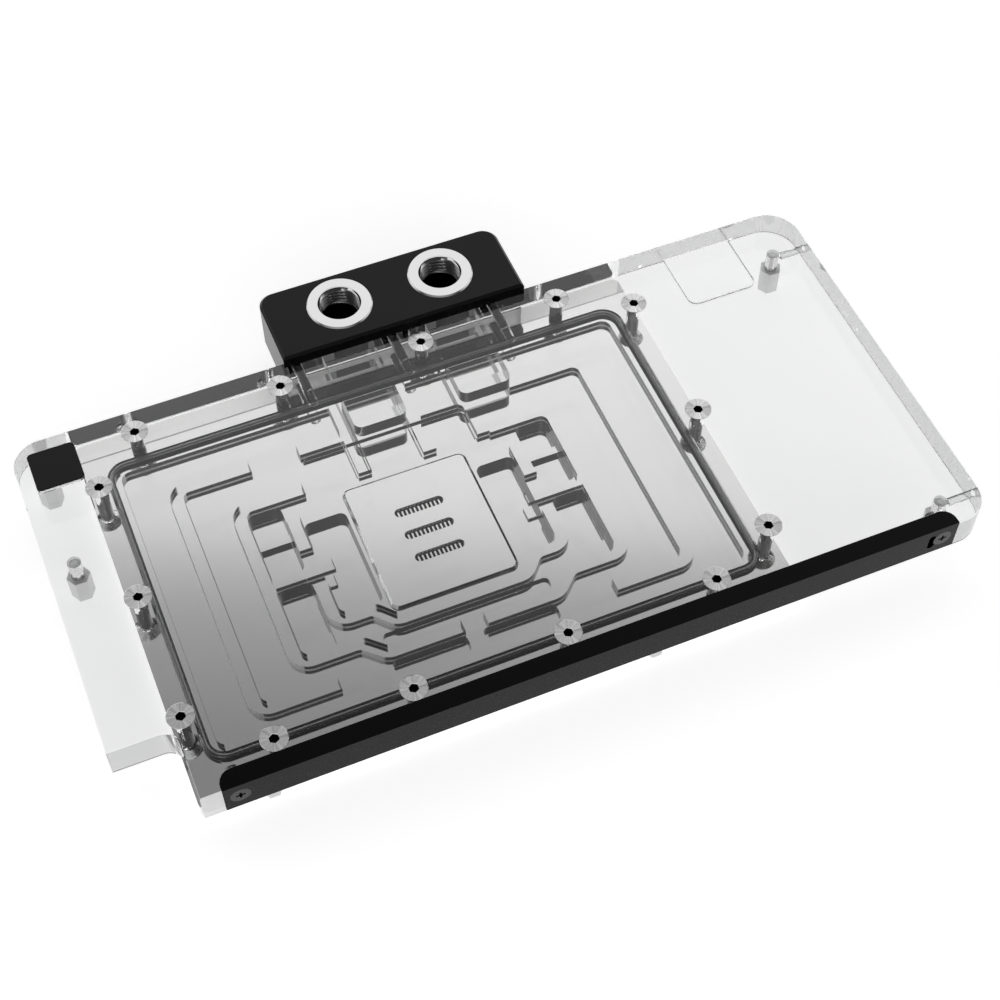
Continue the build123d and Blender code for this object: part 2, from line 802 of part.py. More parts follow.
def save(shape, name):
    """Write one node as a STEP file."""
    export_step(shape, "parts/" + name + ".step")


def main():
    os.makedirs("parts", exist_ok=True)
    save(make_cover(), "clear_cover")
    save(make_plate(), "cold_plate")
    save(make_jet_plate(), "jet_plate")
    save(make_main_seal(), "main_seal")
    save(Compound(children=[cover_screw(x, y) for x, y in screw_places()]), "cover_screws")
    save(make_terminal(), "port_terminal")
    for side, x, duct_x in zip(("left", "right"), port_x, (duct_left_x, duct_right_x)):
        save(make_port_ring(x), "port_ring_" + side)
        save(duct_seal_at(duct_x, duct_seal_depth), "duct_seal_" + side)
    for side, x in zip(("left", "middle", "right"), terminal_screw_x):
        save(make_terminal_screw(x), "terminal_screw_" + side)
    save(make_light_bar(), "light_bar")
    for side, x in zip(("left", "right"), bar_screw_x):
        save(make_bar_screw(x), "bar_screw_" + side)
    save(make_lamp_board(), "lamp_board")
    save(Compound(children=make_lamps()), "lamps")
    save(make_badge(), "badge_plate")
    for name, (x, y) in cover_standoff_places().items():
        save(make_cover_standoff(x, y), "cover_standoff_" + name)
    near_chip = [make_plate_standoff(x, y) for x, y in chip_standoff_places()]
    save(Compound(children=near_chip), "chip_standoffs")
    near_edges = [make_plate_standoff(x, y) for x, y in card_standoff_places()]
    save(Compound(children=near_edges), "card_standoffs")


main()
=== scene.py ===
# %% [markdown]
# # A liquid cooler block for a graphics card
# A nickel-plated cold plate lies under a thick clear cover. The cover's underside is milled into
# flow guides, and everything below it is seen through the clear material. The CAD gives all the
# sizes; this script gives each piece its finish, adds the small things that the CAD leaves out,
# and sets up the camera and the light of a plain studio.

# %% Tools and the frame
import math

import bmesh
import bpy
from mathutils import Matrix, Vector


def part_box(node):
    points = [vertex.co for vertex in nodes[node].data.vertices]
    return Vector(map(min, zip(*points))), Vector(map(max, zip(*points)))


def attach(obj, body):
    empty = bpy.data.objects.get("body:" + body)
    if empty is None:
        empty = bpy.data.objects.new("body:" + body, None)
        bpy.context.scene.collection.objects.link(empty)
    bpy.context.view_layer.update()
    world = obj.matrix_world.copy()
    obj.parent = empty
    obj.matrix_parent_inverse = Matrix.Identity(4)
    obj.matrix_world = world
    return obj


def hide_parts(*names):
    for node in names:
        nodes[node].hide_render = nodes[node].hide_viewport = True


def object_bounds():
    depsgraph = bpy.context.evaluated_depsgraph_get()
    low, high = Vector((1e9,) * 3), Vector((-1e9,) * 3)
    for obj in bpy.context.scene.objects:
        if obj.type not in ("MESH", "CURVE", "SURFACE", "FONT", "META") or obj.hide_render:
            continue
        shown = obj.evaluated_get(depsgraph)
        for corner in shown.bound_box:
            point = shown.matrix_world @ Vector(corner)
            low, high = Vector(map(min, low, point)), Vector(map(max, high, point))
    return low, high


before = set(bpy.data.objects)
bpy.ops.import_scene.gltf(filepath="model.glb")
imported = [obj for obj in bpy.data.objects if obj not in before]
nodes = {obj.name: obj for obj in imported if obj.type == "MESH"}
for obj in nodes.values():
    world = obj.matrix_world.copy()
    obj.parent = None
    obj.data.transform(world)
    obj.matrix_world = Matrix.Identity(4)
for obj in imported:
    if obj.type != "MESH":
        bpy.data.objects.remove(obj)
first_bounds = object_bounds()
MM = 0.001
print(len(nodes), "nodes from the CAD")

# %% [markdown]
# ## Places taken from the frame
# A finish often changes at a certain height or corner of a piece. Those places could be typed in,
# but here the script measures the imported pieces, so that a change of size in the CAD moves every
# mask and every small piece with it.

# %% Heights and corners
cover_low, cover_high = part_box("clear_cover")
plate_low, plate_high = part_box("cold_plate")
terminal_low, terminal_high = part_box("port_terminal")
COVER_TOP = cover_high[2]
COVER_BOTTOM = cover_low[2]
CARD_Z = first_bounds[0][2]
print("cover from", round(COVER_BOTTOM / MM, 2), "to", round(COVER_TOP / MM, 2), "mm")

# %% [markdown]
# ## Shader maths in plain arithmetic
# A material is a net of nodes, and a long net is hard to read as code. One small class wraps a
# node's socket and overloads the arithmetic signs, so that a mask reads as a formula, and each sign
# adds its own Math node.


# %% The socket class
class Value:
    """A number on its way through a material."""

    def __init__(self, paint, socket):
        self.paint = paint
        self.socket = socket

    def maths(self, operation, *others, clamp=False):
        settings = {"operation": operation, "use_clamp": clamp}
        return self.paint.node("ShaderNodeMath", settings, self, *others)

    def reflected(self, operation, other):
        """The same with the plain number in front, as in 1 - mask."""
        return self.paint.node("ShaderNodeMath", {"operation": operation}, other, self)

    def __add__(self, other):
        return self.maths("ADD", other)

    def __radd__(self, other):
        return self.reflected("ADD", other)

    def __sub__(self, other):
        return self.maths("SUBTRACT", other)

    def __rsub__(self, other):
        return self.reflected("SUBTRACT", other)

    def __mul__(self, other):
        return self.maths("MULTIPLY", other)

    def __rmul__(self, other):
        return self.reflected("MULTIPLY", other)

    def __truediv__(self, other):
        return self.maths("DIVIDE", other)

    def __rtruediv__(self, other):
        return self.reflected("DIVIDE", other)

    def __abs__(self):
        return self.maths("ABSOLUTE")

    def above(self, edge, soft):
        """0 well below the edge, 1 well above it."""
        return ((self - edge) / soft).maths("ADD", 0.5, clamp=True)

    def below(self, edge, soft):
        return 1.0 - self.above(edge, soft)

    def between(self, low, high, soft):
        return self.above(low, soft) * self.below(high, soft)

    def either(self, other):
        """1 where this mask or the other one is 1."""
        return self.maths("MAXIMUM", other)


# %% [markdown]
# ## One method for every other node
# `Paint.node` takes a node's type, its settings and what goes into its inputs, in their order or
# by name. The settings come first, because some of them change which inputs the node has. Colours
# go through a Mix node and places through a Vector Math node, since a Math node would turn both
# into a single number.


# %% The paint class
class Paint:
    """The nodes of a material or of the world, under construction."""

    def __init__(self, owner, output="ShaderNodeOutputMaterial"):
        owner.use_nodes = True
        self.owner = owner
        self.tree = owner.node_tree
        self.tree.nodes.clear()
        self.output = self.tree.nodes.new(output)

    def plug(self, value, target):
        if isinstance(value, Value):
            self.tree.links.new(value.socket, target)
        elif value is not None:
            target.default_value = value

    def node(self, kind, settings=None, *values, out=0, **named):
        made = self.tree.nodes.new(kind)
        for key, setting in (settings or {}).items():
            if key == "stops":
                set_stops(made.color_ramp.elements, setting)
            else:
                setattr(made, key, setting)
        for target, value in zip(made.inputs, values):
            self.plug(value, target)
        for key, value in named.items():
            self.plug(value, made.inputs[key.replace("_", " ")])
        return Value(self, made.outputs[out])

    def parts(self, vector):
        """The three numbers of a vector."""
        split = self.node("ShaderNodeSeparateXYZ", None, vector).socket.node
        return [Value(self, split.outputs[axis]) for axis in "XYZ"]

    def place(self):
        """Where the point lies in the frame, in metres, whole and as three numbers."""
        spot = self.node("ShaderNodeTexCoord", out="Object")
        return spot, self.parts(spot)

    def ray(self, kind):
        """1 for the rays of one kind."""
        return self.node("ShaderNodeLightPath", out=f"Is {kind} Ray")

    def noise(self, spot, scale, detail=2.0, stretch=None):
        if stretch:
            spot = self.node("ShaderNodeVectorMath", {"operation": "MULTIPLY"}, spot, stretch)
        return self.node("ShaderNodeTexNoise", None, Vector=spot, Scale=scale, Detail=detail)

    def mix(self, factor, a, b):
        """A colour between two colours. The Mix node keeps its colours in inputs 6 and 7."""
        return self.node("ShaderNodeMix", {"data_type": "RGBA"}, factor, *[None] * 5, a, b, out=2)

    def bump(self, height, strength, distance):
        return self.node("ShaderNodeBump", None, Strength=strength, Distance=distance,
                         Height=height)

    def principled(self, **sockets):
        return self.node("ShaderNodeBsdfPrincipled", None, **sockets)

    def mix_shader(self, factor, a, b):
        return self.node("ShaderNodeMixShader", None, factor, a, b)

    def done(self, shader):
        self.plug(shader, self.output.inputs["Surface"])
        return self.owner


def set_stops(elements, stops):
    """Grey levels on a ramp, which runs straight from stop to stop. New stops start in its middle
    and then take their places."""
    while len(elements) < len(stops):
        elements.new(0.5)
    for element, (place, level) in zip(elements, stops):
        element.position = place
        element.color = (level, level, level, 1.0)


def new_paint(name):
    return Paint(bpy.data.materials.new(name))


def toned(colour, factor):
    """The colour at another level, still opaque."""
    return tuple(part * factor for part in colour[:3]) + (1.0,)


def finish(node, material):
    """Gives a CAD node its material."""
    slots = nodes[node].data.materials
    slots.clear()
    slots.append(material)


# %% [markdown]
# ## Clear cover: where its faces are
# The real cover is one block of cast acrylic, polished outside and milled underneath. The CAD has
# it as one solid, so its finish changes within one piece. Each face could get its own material
# slot, but a mask worked out from the place and the tilt of the surface needs no face picked by
# hand. The masks tell the water space, the ducts that rise to the terminal and the faces that
# lie on the plate, and which of the milled walls can shine.

# %% Masks of the clear cover
SOFT = 0.1 * MM
SKIN = 0.2 * MM
WATER_SPACE = 2.6 * MM
SEAL_INSET = 6.0 * MM
DUCT_TOP = 8.7 * MM
DUCT_REACH = 26.0 * MM
TILTED = (0.5, 0.2)
TURNED = (0.5, 0.1)

clear = new_paint("clear acrylic")
spot, (x, y, z) = clear.place()
normal_x, _, normal_z = clear.parts(clear.node("ShaderNodeNewGeometry", out="Normal"))
inside = clear.node("ShaderNodeNewGeometry", out="Backfacing")
level_face = abs(normal_z).above(*TILTED)
upright = 1.0 - level_face


def over_plate(inset):
    """1 over the cold plate, as far as the inset from its edges."""
    across = x.between(plate_low[0] + inset, plate_high[0] - inset, SOFT)
    return across * y.between(plate_low[1] + inset, plate_high[1] - inset, SOFT)


water = z.below(COVER_BOTTOM + WATER_SPACE, SOFT) * over_plate(SEAL_INSET)
duct = level_face * z.below(COVER_BOTTOM + DUCT_TOP, SOFT)
duct = duct * x.between(terminal_low[0], terminal_high[0], SOFT)
duct = duct * y.above(plate_high[1] - DUCT_REACH, SOFT)
pressed = level_face * z.below(COVER_BOTTOM + SKIN, SOFT) * over_plate(0.0)
wet = water.either(duct).either(pressed)
sideways = abs(normal_x).above(*TURNED)
turned_away = sideways * x.below((plate_low[0] + plate_high[0]) / 2, MM)
shining = upright * (1.0 - inside).either(turned_away)
print("masks of the clear cover use", len(clear.tree.nodes), "nodes")

# %% [markdown]
# ## Clear cover: milled walls
# A cutter leaves the guides' walls shiny, with fine upright marks and a duller line at their foot.
# They could stay clear like the rest, but then they would hardly show. So they are a mirror with
# fine marks. In the left half the walls that face sideways are frosted outside, and inside they are
# a mirror painted deep grey, which is painted shade; that is how they show in the photograph.

# %% Milled walls
WALL_SHINE = (0.86, 0.86, 0.865, 1.0)
PAINTED_WALL_SHADE = (0.2, 0.2, 0.2, 1.0)
EDGE_PALE = (0.8, 0.8, 0.8, 1.0)
FROST = (0.95, 0.95, 0.95, 1.0)
FOOT = 0.5 * MM
MARKS_SCALE = 700.0
MARKS_STRETCH = (1.0, 1.0, 0.2)
POLISHED = 0.04
MARKS_ROUGHNESS = 0.06
FOOT_ROUGHNESS = 0.45

cutter_marks = clear.noise(spot, MARKS_SCALE, detail=3.0, stretch=MARKS_STRETCH)
foot = z.below(COVER_BOTTOM + FOOT, 2.0 * SOFT)
dullness = POLISHED + cutter_marks * MARKS_ROUGHNESS + foot * FOOT_ROUGHNESS
# Painted shade: seen from inside, the sideways walls of the left half are a mirror painted deep
# grey.
mirror = clear.principled(Base_Color=clear.mix(turned_away * inside, WALL_SHINE, PAINTED_WALL_SHADE),
                          Metallic=1.0, Roughness=dullness)
frost = clear.principled(Base_Color=clear.mix(cutter_marks, EDGE_PALE, FROST),
                         Roughness=1.0, Specular_IOR_Level=0.0)
wall = clear.mix_shader(turned_away * (1.0 - inside), mirror, frost)
print("guide walls shine, with a dull foot of", round(FOOT / MM, 2), "mm")

# %% [markdown]
# ## Clear cover: the acrylic itself
# Acrylic bends light with an index of 1.49. With that index the pieces below would look moved
# against the photograph, so the body bends less, and a clear coat of index 1.5 brings back the
# reflection of real acrylic. Where the look meets an upright outer face from inside at a flat
# angle, the face acts as a mirror and turns dark by itself. The wet faces are left transparent,
# because water next to acrylic hides them.

# %% Acrylic
CLEAR_TINT = (0.855, 0.86, 0.86, 1.0)
CLEAR_IOR = 1.2
COAT_IOR = 1.5
SCUFF_SCALE = 260.0
SCUFFED = (0.72, 0.1)
SCUFF_ROUGHNESS = 0.01
NO_TINT = (1.0, 1.0, 1.0, 1.0)

scuffs = clear.noise(spot, SCUFF_SCALE, detail=4.0).above(*SCUFFED) * SCUFF_ROUGHNESS
glass = clear.principled(Base_Color=CLEAR_TINT, Roughness=scuffs, IOR=CLEAR_IOR,
                         Transmission_Weight=1.0, Coat_Weight=1.0, Coat_IOR=COAT_IOR,
                         Coat_Roughness=0.0)
unseen = clear.node("ShaderNodeBsdfTransparent", None, NO_TINT)
body = clear.mix_shader(wet, glass, clear.mix_shader(shining, unseen, wall))
print("acrylic bends light with an index of", CLEAR_IOR)

# %% [markdown]
# ## Clear cover: its edges
# The back edge is milled, and light from behind fills it, so what the bright plate mirrors of it is
# pale. It could be a separate strip of material, but then the direct look at it would turn pale
# too, so only reflected rays see it so. The two overhanging ends are sawn and rough; a dark shader
# mixed into them paints them a little grey, with a darker line along their lower rim, as painted
# shade.

# %% Edges and light through the cover
SAWN_PAINTED_DARK = (0.05, 0.05, 0.05, 1.0)
RIM_HEIGHT = 0.5 * MM
SAWN_ROUGHNESS = 0.4
SAW_MARKS = 0.2
SAWN_SHADE_SHARE = 0.28
RIM_SHADE_SHARE = 0.45
PASSING = (0.93, 0.93, 0.93, 1.0)

lit_edge = clear.node("ShaderNodeAddShader", None,
                      clear.node("ShaderNodeBsdfDiffuse", None, EDGE_PALE),
                      clear.node("ShaderNodeBsdfTranslucent", None, EDGE_PALE))
back_edge = upright * y.above(cover_high[1] - SKIN, SOFT) * clear.ray("Reflection")
body = clear.mix_shader(back_edge, body, lit_edge)
overhang = x.below(plate_low[0] - MM, SOFT) + x.above(plate_high[0] + MM, SOFT)
# Painted shade: the overhanging end faces get some of a dark shader, and more of it along their
# lower rim.
shade = z.below(COVER_BOTTOM + RIM_HEIGHT, SOFT) * RIM_SHADE_SHARE + SAWN_SHADE_SHARE
sawn_with_painted_shade = clear.principled(Base_Color=SAWN_PAINTED_DARK,
                        Roughness=SAWN_ROUGHNESS + cutter_marks * SAW_MARKS)
body = clear.mix_shader(upright * overhang * shade, body, sawn_with_painted_shade)

# A lamp's light has to reach the plate, so shadow and diffuse rays pass as through a thin sheet.
through = clear.node("ShaderNodeBsdfTransparent", None, PASSING)
passing = clear.ray("Shadow") + clear.ray("Diffuse")
finish("clear_cover", clear.done(clear.mix_shader(passing, body, through)))
print("clear cover painted with", len(clear.tree.nodes), "nodes")

# %% [markdown]
# ## Nickel and steel
# The cold plate is copper with a bright nickel layer: almost a mirror, softened by the lapping
# marks of its flat top. The jet plate is thin steel, and the rings and standoffs are turned. A
# picture of brushed metal could be wrapped round them, but a stretched noise gives marks of the
# right size on any shape, so one function makes all of these metals.

# %% Metal materials
LAPPING_SCALE = 420.0
CLOUD_SCALE = 35.0
CLOUD_LEVEL = 0.96
MARK_STRENGTH = 0.02
MARK_DEPTH = 0.002 * MM
ALONG_X = (0.08, 1, 1)
ALONG_Y = (1, 0.08, 1)
ALONG_Z = (1, 1, 0.1)
EVEN = (1, 1, 1)


def nickel(name, colour, roughness, marks, stretch, metallic=1.0):
    """Bright metal with fine marks that run along the stretched direction."""
    paint = new_paint(name)
    spot, _ = paint.place()
    lapping = paint.noise(spot, LAPPING_SCALE, detail=4.0, stretch=stretch)
    clouds = paint.noise(spot, CLOUD_SCALE)
    shade = paint.mix(clouds, colour, toned(colour, CLOUD_LEVEL))
    return paint.done(paint.principled(
        Base_Color=shade, Metallic=metallic, Roughness=roughness + lapping * marks,
        Normal=paint.bump(lapping, MARK_STRENGTH, MARK_DEPTH)))


plate_metal = nickel("nickel plate", (0.81, 0.81, 0.805, 1), roughness=0.04, marks=0.03,
                     stretch=ALONG_Y)
jet_metal = nickel("jet plate steel", (0.86, 0.86, 0.855, 1), roughness=0.06, marks=0.05,
                   stretch=ALONG_X)
ring_metal = nickel("ring nickel", (0.7, 0.7, 0.705, 1), roughness=0.06, marks=0.06,
                    stretch=ALONG_Z)
# Painted shade: a darker nickel for the screw shanks and the port bores, which lie in holes.
thread_painted_shade = nickel("thread nickel, painted shade", (0.3, 0.3, 0.305, 1), roughness=0.2, marks=0.06,
                      stretch=ALONG_Z)
turned = nickel("turned steel", (0.9, 0.9, 0.9, 1), roughness=0.35, marks=0.1, stretch=EVEN,
                metallic=0.4)
finish("cold_plate", plate_metal)
finish("jet_plate", jet_metal)
standoffs = [name for name in nodes if "standoff" in name]
for name in standoffs:
    finish(name, turned)
print("metals made, one of them for", len(standoffs), "standoff nodes")

# %% [markdown]
# ## Dark parts
# The port terminal is machined black plastic, the light bar black anodised aluminium, and the seals
# are black rubber. All of them are satin. Plain black would look like a hole in the picture, so a
# fine grain breaks up the reflection and a large one shifts the level a little. The terminal's
# joint, seen through the cover's back edge, is painted paler than its outside: painted light, in
# place of the light that fills the rest of the back edge.

# %% Dark materials
GRAIN_SCALE = 1400.0
GRAIN_ROUGHNESS = 0.1
GRAIN_DEPTH = 0.02 * MM
PATCH_SCALE = 60.0
PATCH_LEVEL = 1.25
JOINT_PAINTED_LIGHT = (0.4, 0.4, 0.4, 1.0)
JOINT_INSET = 1.5 * MM
JOINT_DEPTH = 9.0 * MM


def dark(name, colour, roughness, grain, shine=0.5, joint=None, **more):
    """A black surface. Shine is how much light the surface throws back, 0.5 for plain plastic.
    A joint is a zone painted paler, as painted light, given by its lowest and highest corners."""
    paint = new_paint(name)
    spot, place = paint.place()
    fine = paint.noise(spot, GRAIN_SCALE, detail=3.0)
    shade = paint.mix(paint.noise(spot, PATCH_SCALE), colour, toned(colour, PATCH_LEVEL))
    if joint:
        zone = 1.0
        for value, low, high in zip(place, *joint):
            zone = value.between(low, high, SOFT) * zone
        # Painted light: the joint zone is painted pale.
        shade = paint.mix(zone, shade, JOINT_PAINTED_LIGHT)
    return paint.done(paint.principled(
        Base_Color=shade, Specular_IOR_Level=shine, Roughness=roughness + fine * GRAIN_ROUGHNESS,
        Normal=paint.bump(fine, grain, GRAIN_DEPTH), **more))


# The terminal's joint with the cover's back edge, painted pale as painted light.
joint_low = (terminal_low[0] + JOINT_INSET, cover_high[1] - JOINT_INSET, terminal_low[2])
joint_high = (terminal_high[0] - JOINT_INSET, cover_high[1] + JOINT_DEPTH, COVER_TOP - MM)
terminal_black = dark("black terminal", (0.003, 0.003, 0.003, 1), roughness=0.2, grain=0.06,
                      shine=0.2, joint=(joint_low, joint_high))
bar_black = dark("black anodised bar", (0.0015, 0.0015, 0.0015, 1), roughness=0.22, grain=0.05,
                 shine=0.1)
badge_black = dark("black badge", (0.004, 0.004, 0.004, 1), roughness=0.25, grain=0.08,
                   shine=0.22)
board = dark("lamp board", (0.012, 0.014, 0.012, 1), roughness=0.4, grain=0.1)
rubber = dark("seal rubber", (0.02, 0.02, 0.02, 1), roughness=0.15, grain=0.03, shine=1.0,
              Coat_Weight=1.0, Coat_IOR=2.2)
blackened = dark("blackened steel", (0.01, 0.01, 0.01, 1), roughness=0.25, grain=0.1)
finish("port_terminal", terminal_black)
finish("light_bar", bar_black)
finish("badge_plate", badge_black)
finish("lamp_board", board)
for name in nodes:
    if "duct_seal" in name:
        finish(name, rubber)
    if name.startswith(("terminal_screw", "bar_screw")):
        finish(name, blackened)
print("dark materials made, the darkest for the light bar")

# %% [markdown]
# ## Lamps
# The lamps on the board are off, so what shows is the pale yellow of their phosphor. An emission
# would make them glow, but the bar isn't lit in the photograph, so they are plain satin.

# %% Lamp material
LAMP_SCALE = 500.0
PHOSPHOR = (0.8, 0.78, 0.62, 1)
PHOSPHOR_PALE = (0.9, 0.88, 0.75, 1)
LAMP_ROUGHNESS = 0.25

lens = new_paint("lamp lens")
spot, _ = lens.place()
phosphor = lens.mix(lens.noise(spot, LAMP_SCALE), PHOSPHOR, PHOSPHOR_PALE)
finish("lamps", lens.done(lens.principled(Base_Color=phosphor, Roughness=LAMP_ROUGHNESS)))
print("lamps painted as off")

# %% [markdown]
# ## Turned pieces
# A lathe makes round pieces from a profile, and so does `lathe`: each ring of the profile has a
# radius and a height. A Screw modifier on a drawn outline could do this as well, but only for round
# pieces. Here a radius may be a function of the angle, which gives a hex socket or a screw thread
# on the same piece.


# %% Lathe
CRISP_FROM = math.radians(32.0)


def smooth(mesh):
    """Round faces look round, and edges sharper than the angle stay crisp."""
    mesh.shade_smooth()
    mesh.set_sharp_from_angle(angle=CRISP_FROM)
    return mesh


def skin(name, loops, closed):
    """A mesh from loops of points: each loop is joined to the next one by a band of faces."""
    made = bmesh.new()
    rings = [[made.verts.new(point) for point in loop] for loop in loops]
    pairs = list(zip(rings, rings[1:]))
    if closed:
        pairs.append((rings[-1], rings[0]))
    else:
        made.faces.new(rings[0])
        made.faces.new(rings[-1])
    for here, there in pairs:
        for step in range(len(here)):
            after = (step + 1) % len(here)
            made.faces.new((here[step], here[after], there[after], there[step]))
    bmesh.ops.recalc_face_normals(made, faces=made.faces)
    mesh = bpy.data.meshes.new(name)
    made.to_mesh(mesh)
    made.free()
    return smooth(mesh)


def lathe(name, rings, sides, closed=False):
    """A turned mesh round the Z axis. A closed profile comes back to its first ring."""
    loops = []
    for radius, height in rings:
        loop = []
        for step in range(sides):
            angle = math.tau * step / sides
            reach = radius(angle) if callable(radius) else radius
            loop.append((reach * math.cos(angle), reach * math.sin(angle), height))
        loops.append(loop)
    return skin(name, loops, closed)


def piece(name, mesh, replaced, at=(0, 0, 0)):
    """Places a mesh as a piece that stands for a CAD node."""
    made = bpy.data.objects.new(name, mesh)
    made.location = at
    bpy.context.collection.objects.link(made)
    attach(made, "root")
    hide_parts(replaced)


# %% [markdown]
# ## Equal solids in one node
# The fourteen cover screws are one node of the CAD, and each gets a piece of its own here. Their
# places could be typed in, but the mesh already knows them: points that edges join belong to one
# solid, so a search along the edges finds each solid and its box.


# %% Find the solids
SAME_POINT = 0.001 * MM


def solids(node):
    """The lowest and highest corners of each separate solid in a node, from left to right."""
    source = bmesh.new()
    source.from_mesh(nodes[node].data)
    bmesh.ops.remove_doubles(source, verts=source.verts, dist=SAME_POINT)
    waiting = set(source.verts)
    boxes = []
    while waiting:
        reached = [waiting.pop()]
        found = []
        while reached:
            vertex = reached.pop()
            found.append(vertex.co.copy())
            for edge in vertex.link_edges:
                near = edge.other_vert(vertex)
                if near in waiting:
                    waiting.discard(near)
                    reached.append(near)
        boxes.append([Vector(pick(point[axis] for point in found) for axis in range(3))
                      for pick in (min, max)])
    source.free()
    return sorted(boxes, key=lambda box: (round(box[0].x, 5), round(box[0].y, 5)))


screws = solids("cover_screws")
print(len(screws), "cover screws found")

# %% [markdown]
# ## Cover screws
# Countersunk machine screws with a hex socket. The CAD keeps them plain; here each gets a rounded
# head edge, a socket with a drilled bottom, and a shank with a screw thread, all in one lathe
# profile. The socket and the shank are painted dark, as painted shade. The head's flat is turned,
# so its marks run in rings. Rings as fine as that would flicker as a bump, so the head gets an
# anisotropic reflection, and bright and dark sectors round its middle, set by the angle, are
# painted into its colour as painted highlight and painted shade.

# %% Screw materials
SECTOR_SCALE = 2.6
SECTOR_STEP = (0.5, 0.4)
SECTOR_PAINTED_SHADE = (0.5, 0.5, 0.5, 1)
SECTOR_PAINTED_HIGHLIGHT = (0.92, 0.92, 0.92, 1)
TURNING_SCALE = 900.0
TURNED_ROUGHNESS = 0.22
TURNING_ROUGHNESS = 0.1
ANISOTROPY = 0.85


def head_with_painted_sectors():
    """Turned metal; its bright and dark sectors are a painted highlight and painted shade."""
    paint = new_paint("turned screw head, painted sectors")
    spot, (x, y, _) = paint.place()
    # Painted highlight and painted shade: sectors set by the angle round the middle.
    painted_sectors = paint.node("ShaderNodeTexNoise", {"noise_dimensions": "1D"}, W=y.maths("ARCTAN2", x),
                      Scale=SECTOR_SCALE, Detail=3.0)
    shade = paint.mix(painted_sectors.above(*SECTOR_STEP), SECTOR_PAINTED_SHADE, SECTOR_PAINTED_HIGHLIGHT)
    fine = paint.noise(spot, TURNING_SCALE, detail=3.0)
    return paint.done(paint.principled(
        Base_Color=shade, Metallic=1.0, Anisotropic=ANISOTROPY,
        Roughness=TURNED_ROUGHNESS + fine * TURNING_ROUGHNESS))


screw_metal = head_with_painted_sectors()
# Painted shade: the hex socket is painted near black, as a hollow in shade.
socket_painted_shade = dark("socket, painted shade", (0.006, 0.006, 0.006, 1), roughness=0.4, grain=0.05,
                   shine=0.15)
print("screw materials made")

# %% Screw shape
HEAD_DEPTH = 2.2 * MM
SHANK = 1.95 * MM
EDGE = 0.12 * MM
HEX = 2.5 * MM
HEX_LEAD = 1.08
HEX_DEPTH = 1.7 * MM
SOCKET_RADIUS = HEX * 0.62
DRILL_RADIUS = HEX * 0.3
DRILL_TIP = 0.25 * MM
SCREW_PITCH = 0.7 * MM
THREAD_DEPTH = 0.3 * MM
THREAD_LENGTH = 4.0 * MM
THREAD_LEAD = 0.3 * MM
THREAD_END = 0.2 * MM
RINGS_PER_TURN = 6
FLANK = 1.35
JUST_OVER = 1.02
SCREW_SIDES = 48


def hexagon(across, scale=1.0):
    """The radius of a hexagon at an angle, from its width across flats."""
    def radius(angle):
        off = (angle + math.pi / 6) % (math.pi / 3) - math.pi / 6
        return scale * across / 2 / math.cos(off)
    return radius


def thread(inner, depth, pitch, height):
    """The radius of a screw thread at one height. A flank over 1 leaves a flat crest."""
    def radius(angle):
        turn = (height / pitch - angle / math.tau) % 1.0
        return inner + depth * min(1.0, FLANK * (1.0 - abs(2.0 * turn - 1.0)))
    return radius


def screw_mesh(head, length):
    """The top of the head lies at height 0."""
    root = SHANK - THREAD_DEPTH
    rings = [(root, -length)]
    steps = round(THREAD_LENGTH / SCREW_PITCH * RINGS_PER_TURN)
    start = -length + THREAD_LEAD
    for step in range(steps + 1):
        height = start + THREAD_LENGTH * step / steps
        rings.append((thread(root, THREAD_DEPTH, SCREW_PITCH, height), height))
    rings += [(SHANK, start + THREAD_LENGTH + THREAD_END), (SHANK, -HEAD_DEPTH),
              (head - EDGE / 6, -EDGE), (head - EDGE / 2, -EDGE / 2), (head - EDGE, 0.0),
              (hexagon(HEX, HEX_LEAD), 0.0), (hexagon(HEX), -EDGE),
              (hexagon(HEX), -HEX_DEPTH), (DRILL_RADIUS, -HEX_DEPTH - DRILL_TIP)]
    return lathe("cover_screw", rings, SCREW_SIDES)


# %% Place the screws
def paint_shade_on(mesh, material, inside, below):
    """Gives the faces within a radius and under a height a material with painted shade."""
    mesh.materials.append(material)
    for face in mesh.polygons:
        if face.center.to_2d().length < inside and face.center.z < below:
            face.material_index = len(mesh.materials) - 1


low, high = screws[0]
screw = screw_mesh((high.x - low.x) / 2, high.z - low.z)
screw.materials.append(screw_metal)
# Painted shade on the shank and in the socket.
paint_shade_on(screw, thread_painted_shade, SHANK * JUST_OVER, -HEAD_DEPTH)
paint_shade_on(screw, socket_painted_shade, SOCKET_RADIUS, -EDGE)
for number, (low, high) in enumerate(screws, 1):
    middle = (low + high) / 2
    piece(f"cover_screw_{number}", screw, "cover_screws",
          (middle.x, middle.y, high.z))
print(len(screws), "cover screws of", len(screw.polygons), "faces each")

# %% [markdown]
# ## Port rings
# Each port has a threaded metal insert for a standard fitting. The wide face is polished, its
# edges are broken, and the thread inside starts below the mouth. A bump could fake the thread, but
# the photograph looks straight into the ports, so it is a real helix: the lathe's radius turns
# with the angle. The profile is closed, since the ring has a hole.

# %% Ring shape
RING_THICK = 1.6 * MM
RING_BREAK = 0.35 * MM
RING_SOFT = RING_BREAK * 0.3
SLEEVE = 7.4 * MM
BORE = 5.72 * MM
MOUTH = 6.6 * MM
MOUTH_DEPTH = 0.5 * MM
PORT_PITCH = 1.337 * MM
PORT_THREAD = 0.72 * MM
PORT_THREAD_START = 1.0 * MM
PORT_THREAD_END = 0.4 * MM
PORT_RINGS_PER_TURN = 8
SHADE_FROM = 0.9 * MM
RING_SIDES = 96


